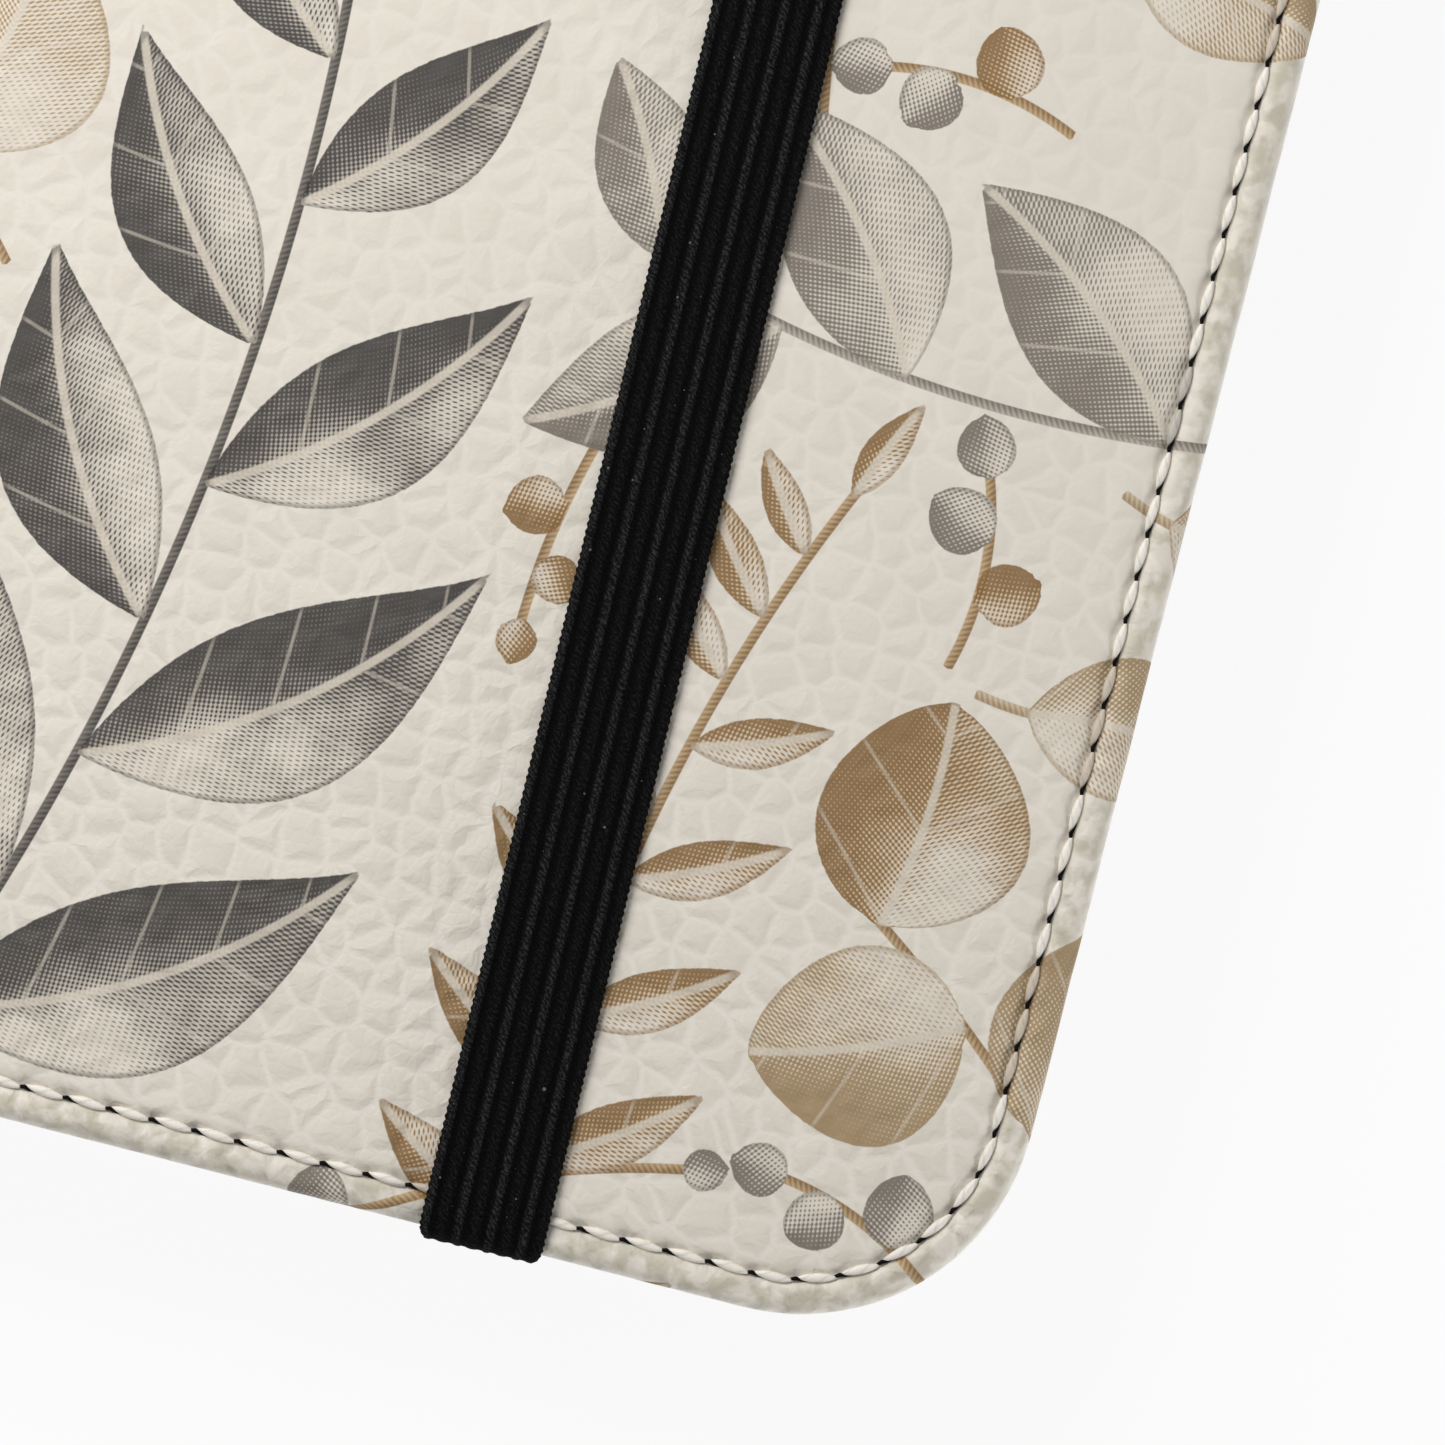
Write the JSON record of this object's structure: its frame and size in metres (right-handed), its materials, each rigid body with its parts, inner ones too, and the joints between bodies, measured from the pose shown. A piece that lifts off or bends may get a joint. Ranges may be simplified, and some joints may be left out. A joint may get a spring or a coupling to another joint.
{
  "type": "folio phone case",
  "caption": "Book-style phone case with a leather-covered folding cover, stitched edges, card pockets, a snap-in moulded shell and an elastic strap that holds it shut.",
  "frame": {"origin": "centre of the back cover's outer face, under the closed case", "axes": "+X from the spine to the opening edge, +Y to the top of the phone, +Z from the back cover to the front cover"},
  "size_m": [0.0824, 0.1596, 0.0203],
  "materials": {
    "leathercloth": "pebble grain",
    "greyboard": "raw board",
    "lining": "brushed microfibre",
    "thread": "twisted polyester",
    "shell": "fine moulded",
    "foam_pad": "foam",
    "pocket": "fine grain",
    "elastic": "knitted over rubber cords"
  },
  "bodies": {
    "back_cover": {"back_skin": "leathercloth", "back_board": "greyboard", "back_lining": "lining", "back_stitching": "thread", "shell_pad": "foam_pad", "phone_shell": "shell", "band_tail_top": "elastic", "band_tail_bottom": "elastic"},
    "spine": {"back_fold_strip": "leathercloth", "spine_skin": "leathercloth", "spine_board": "greyboard", "spine_lining": "lining", "spine_stitching": "thread", "front_fold_strip": "leathercloth"},
    "front_cover": {"front_skin": "leathercloth", "front_board": "greyboard", "front_lining": "lining", "front_stitching": "thread", "slip_pocket": "pocket", "card_pocket_upper": "pocket", "card_pocket_middle": "pocket", "card_pocket_lower": "pocket"},
    "strap": {"elastic_band": "elastic"}
  },
  "joints": [
    {"name": "back_fold", "type": "hinge", "parent": "back_cover", "child": "spine", "pos_m": [-0.04056, 0, 0.00064], "axis": [0, -1, 0], "range_deg": [0, 90], "deforming": ["back_fold_strip"]},
    {"name": "front_fold", "type": "hinge", "parent": "spine", "child": "front_cover", "pos_m": [-0.04056, 0, 0.01886], "axis": [0, -1, 0], "range_deg": [0, 90], "deforming": ["front_fold_strip"]},
    {"name": "strap_swing", "type": "hinge", "parent": "back_cover", "child": "strap", "pos_m": [0.0079, 0, 0.00975], "axis": [-0.014, 0.9999, 0], "range_deg": [0, 180], "deforming": ["elastic_band"]}
  ]
}
